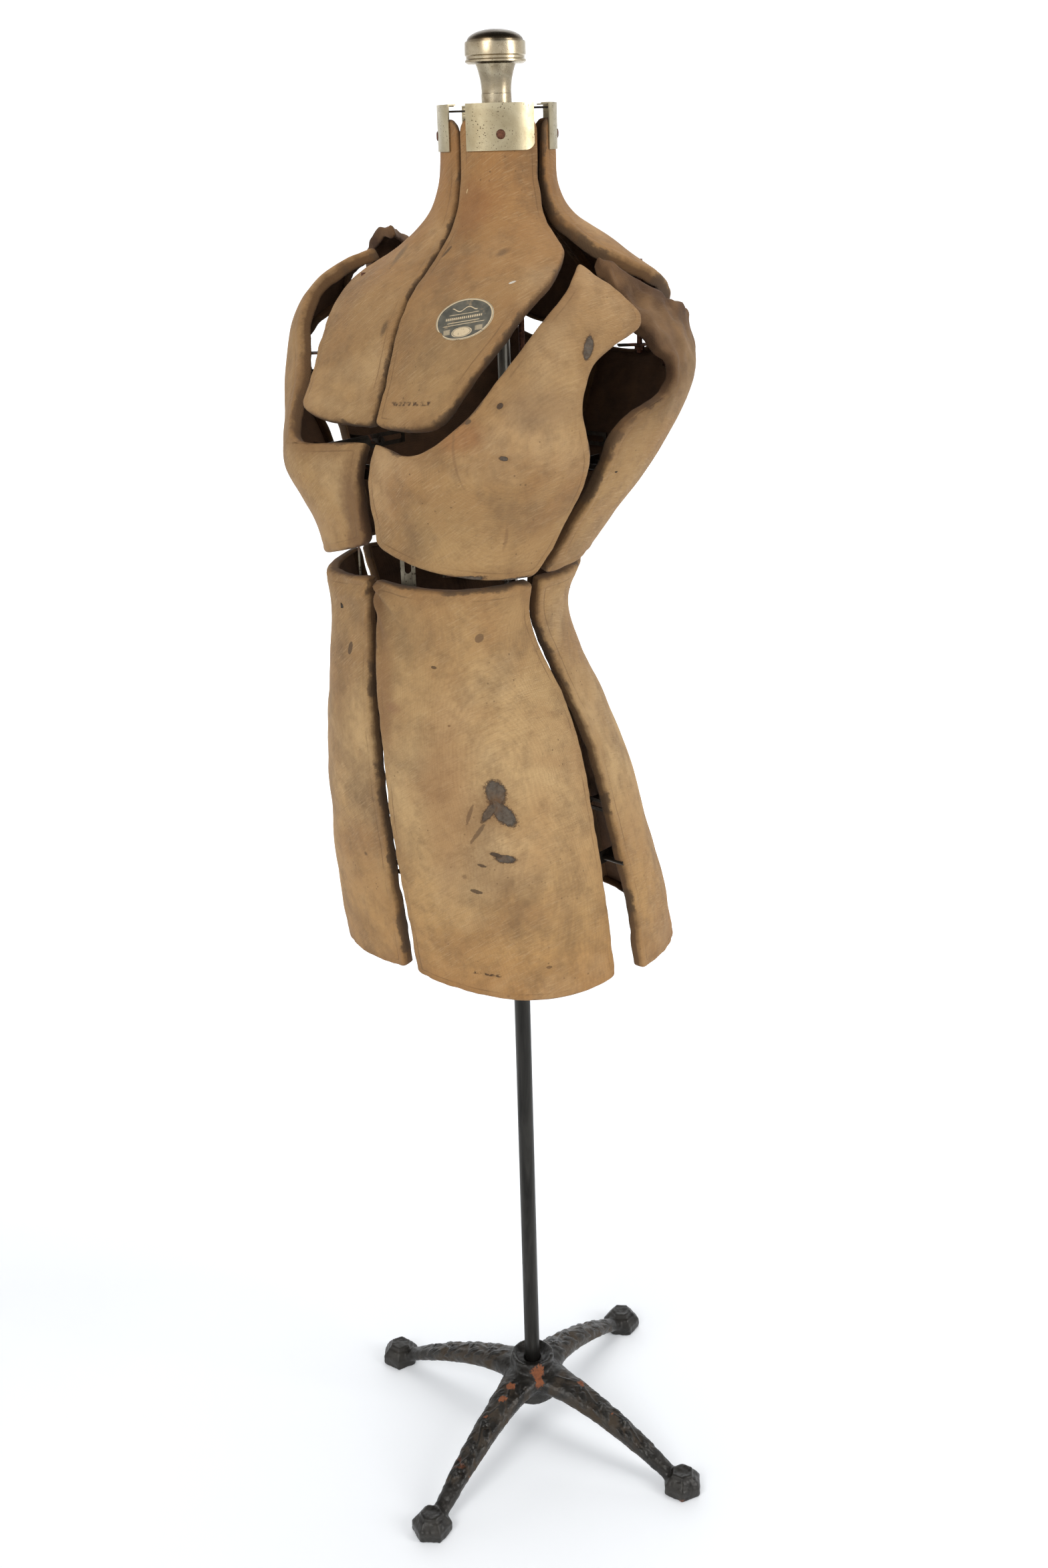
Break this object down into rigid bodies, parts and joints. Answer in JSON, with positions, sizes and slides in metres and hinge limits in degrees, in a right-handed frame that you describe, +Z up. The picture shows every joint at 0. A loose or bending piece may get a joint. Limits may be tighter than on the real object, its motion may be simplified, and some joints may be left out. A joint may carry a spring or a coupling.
{
  "type": "dress form mannequin",
  "caption": "Vintage adjustable dress form of moulded jersey-covered panels joined by slotted steel strips, on a post with a four-footed cast-iron stand.",
  "frame": {"origin": "on the floor, on the post's axis", "axes": "+Z up along the post, the chest faces -Y, the form's own left side is +X"},
  "size_m": [0.4396, 0.4396, 1.5],
  "materials": {
    "jersey": "matt, worn",
    "nickel": "nickel plated, tarnished",
    "strip_nickel": "dull plated",
    "dark_steel": "blackened",
    "bright_steel": "satin",
    "black_steel": "semi-gloss black",
    "copper": "browned",
    "cast_iron": "black, rusted in patches"
  },
  "bodies": {
    "stand": {"base_casting": "cast_iron", "post_tube": "black_steel", "post_lock_nut": "cast_iron", "tube_collar": "black_steel"},
    "collar_screw": {"thumb_screw": "nickel"},
    "riser": {"riser_rod": "bright_steel"},
    "head": {"head_hub": "dark_steel", "clamp_washer": "nickel"},
    "knob": {"neck_knob": "nickel", "knob_ferrule": "nickel"},
    "neck_front_left": {"neck_panel_front_left": "jersey", "neck_plate_front_left": "nickel", "neck_rivets_front_left": "copper", "neck_arm_front_left": "dark_steel"},
    "bust_front_left": {"bust_panel_front_left": "jersey", "bust_strips_front_left": "dark_steel", "bust_studs_front_left": "dark_steel"},
    "waist_front_left": {"waist_strip_front_left": "strip_nickel"},
    "hip_front_left": {"hip_panel_front_left": "jersey", "hip_strip_front_left": "dark_steel", "hip_studs_front_left": "dark_steel"},
    "neck_front_right": {"neck_panel_front_right": "jersey", "neck_plate_front_right": "nickel", "neck_rivets_front_right": "copper", "neck_arm_front_right": "dark_steel"},
    "bust_front_right": {"bust_panel_front_right": "jersey", "bust_strips_front_right": "dark_steel", "bust_studs_front_right": "dark_steel"},
    "waist_front_right": {"waist_strip_front_right": "strip_nickel"},
    "hip_front_right": {"hip_panel_front_right": "jersey", "hip_strip_front_right": "dark_steel", "hip_studs_front_right": "dark_steel"},
    "neck_back_left": {"neck_panel_back_left": "jersey", "neck_plate_back_left": "nickel", "neck_rivets_back_left": "copper", "neck_arm_back_left": "dark_steel"},
    "bust_back_left": {"bust_panel_back_left": "jersey", "bust_strips_back_left": "dark_steel", "bust_studs_back_left": "dark_steel"},
    "waist_back_left": {"waist_strip_back_left": "strip_nickel"},
    "hip_back_left": {"hip_panel_back_left": "jersey", "hip_strip_back_left": "dark_steel", "hip_studs_back_left": "dark_steel"},
    "neck_back_right": {"neck_panel_back_right": "jersey", "neck_plate_back_right": "nickel", "neck_rivets_back_right": "copper", "neck_arm_back_right": "dark_steel"},
    "bust_back_right": {"bust_panel_back_right": "jersey", "bust_strips_back_right": "dark_steel", "bust_studs_back_right": "dark_steel"},
    "waist_back_right": {"waist_strip_back_right": "strip_nickel"},
    "hip_back_right": {"hip_panel_back_right": "jersey", "hip_strip_back_right": "dark_steel", "hip_studs_back_right": "dark_steel"}
  },
  "joints": [
    {"name": "thumb_screw_turn", "type": "hinge", "parent": "stand", "child": "collar_screw", "pos_m": [0.02, 0, 0.906], "axis": [1, 0, 0], "continuous": true},
    {"name": "height_slide", "type": "slide", "parent": "stand", "child": "riser", "axis": [0, 0, 1], "range_m": [-0.06, 0.15]},
    {"name": "head_turn", "type": "hinge", "parent": "riser", "child": "head", "pos_m": [0, 0, 1.4], "axis": [0, 0, 1], "continuous": true},
    {"name": "knob_turn", "type": "hinge", "parent": "head", "child": "knob", "pos_m": [0, 0, 1.46], "axis": [0, 0, 1], "continuous": true},
    {"name": "neck_spread_front_left", "type": "slide", "parent": "head", "child": "neck_front_left", "axis": [0.7071, -0.7071, 0], "range_m": [0, 0.008]},
    {"name": "bust_spread_front_left", "type": "slide", "parent": "neck_front_left", "child": "bust_front_left", "axis": [0.7071, -0.7071, 0], "range_m": [-0.003, 0.012]},
    {"name": "waist_drop_front_left", "type": "slide", "parent": "bust_front_left", "child": "waist_front_left", "axis": [0, 0, -1], "range_m": [0, 0.04]},
    {"name": "hip_spread_front_left", "type": "slide", "parent": "waist_front_left", "child": "hip_front_left", "axis": [0.7071, -0.7071, 0], "range_m": [-0.002, 0.008]},
    {"name": "neck_spread_front_right", "type": "slide", "parent": "head", "child": "neck_front_right", "axis": [-0.7071, -0.7071, 0], "range_m": [0, 0.008]},
    {"name": "bust_spread_front_right", "type": "slide", "parent": "neck_front_right", "child": "bust_front_right", "axis": [-0.7071, -0.7071, 0], "range_m": [-0.003, 0.012]},
    {"name": "waist_drop_front_right", "type": "slide", "parent": "bust_front_right", "child": "waist_front_right", "axis": [0, 0, -1], "range_m": [0, 0.04]},
    {"name": "hip_spread_front_right", "type": "slide", "parent": "waist_front_right", "child": "hip_front_right", "axis": [-0.7071, -0.7071, 0], "range_m": [-0.002, 0.008]},
    {"name": "neck_spread_back_left", "type": "slide", "parent": "head", "child": "neck_back_left", "axis": [0.7071, 0.7071, 0], "range_m": [0, 0.008]},
    {"name": "bust_spread_back_left", "type": "slide", "parent": "neck_back_left", "child": "bust_back_left", "axis": [0.7071, 0.7071, 0], "range_m": [-0.003, 0.012]},
    {"name": "waist_drop_back_left", "type": "slide", "parent": "bust_back_left", "child": "waist_back_left", "axis": [0, 0, -1], "range_m": [0, 0.04]},
    {"name": "hip_spread_back_left", "type": "slide", "parent": "waist_back_left", "child": "hip_back_left", "axis": [0.7071, 0.7071, 0], "range_m": [-0.002, 0.008]},
    {"name": "neck_spread_back_right", "type": "slide", "parent": "head", "child": "neck_back_right", "axis": [-0.7071, 0.7071, 0], "range_m": [0, 0.008]},
    {"name": "bust_spread_back_right", "type": "slide", "parent": "neck_back_right", "child": "bust_back_right", "axis": [-0.7071, 0.7071, 0], "range_m": [-0.003, 0.012]},
    {"name": "waist_drop_back_right", "type": "slide", "parent": "bust_back_right", "child": "waist_back_right", "axis": [0, 0, -1], "range_m": [0, 0.04]},
    {"name": "hip_spread_back_right", "type": "slide", "parent": "waist_back_right", "child": "hip_back_right", "axis": [-0.7071, 0.7071, 0], "range_m": [-0.002, 0.008]}
  ],
  "couplings": [
    {"joint": "neck_spread_front_right", "follows": "neck_spread_front_left", "ratio": 1},
    {"joint": "bust_spread_front_right", "follows": "bust_spread_front_left", "ratio": 1},
    {"joint": "waist_drop_front_right", "follows": "waist_drop_front_left", "ratio": 1},
    {"joint": "hip_spread_front_right", "follows": "hip_spread_front_left", "ratio": 1},
    {"joint": "neck_spread_back_left", "follows": "neck_spread_front_left", "ratio": 1},
    {"joint": "bust_spread_back_left", "follows": "bust_spread_front_left", "ratio": 1},
    {"joint": "waist_drop_back_left", "follows": "waist_drop_front_left", "ratio": 1},
    {"joint": "hip_spread_back_left", "follows": "hip_spread_front_left", "ratio": 1},
    {"joint": "neck_spread_back_right", "follows": "neck_spread_front_left", "ratio": 1},
    {"joint": "bust_spread_back_right", "follows": "bust_spread_front_left", "ratio": 1},
    {"joint": "waist_drop_back_right", "follows": "waist_drop_front_left", "ratio": 1},
    {"joint": "hip_spread_back_right", "follows": "hip_spread_front_left", "ratio": 1}
  ]
}
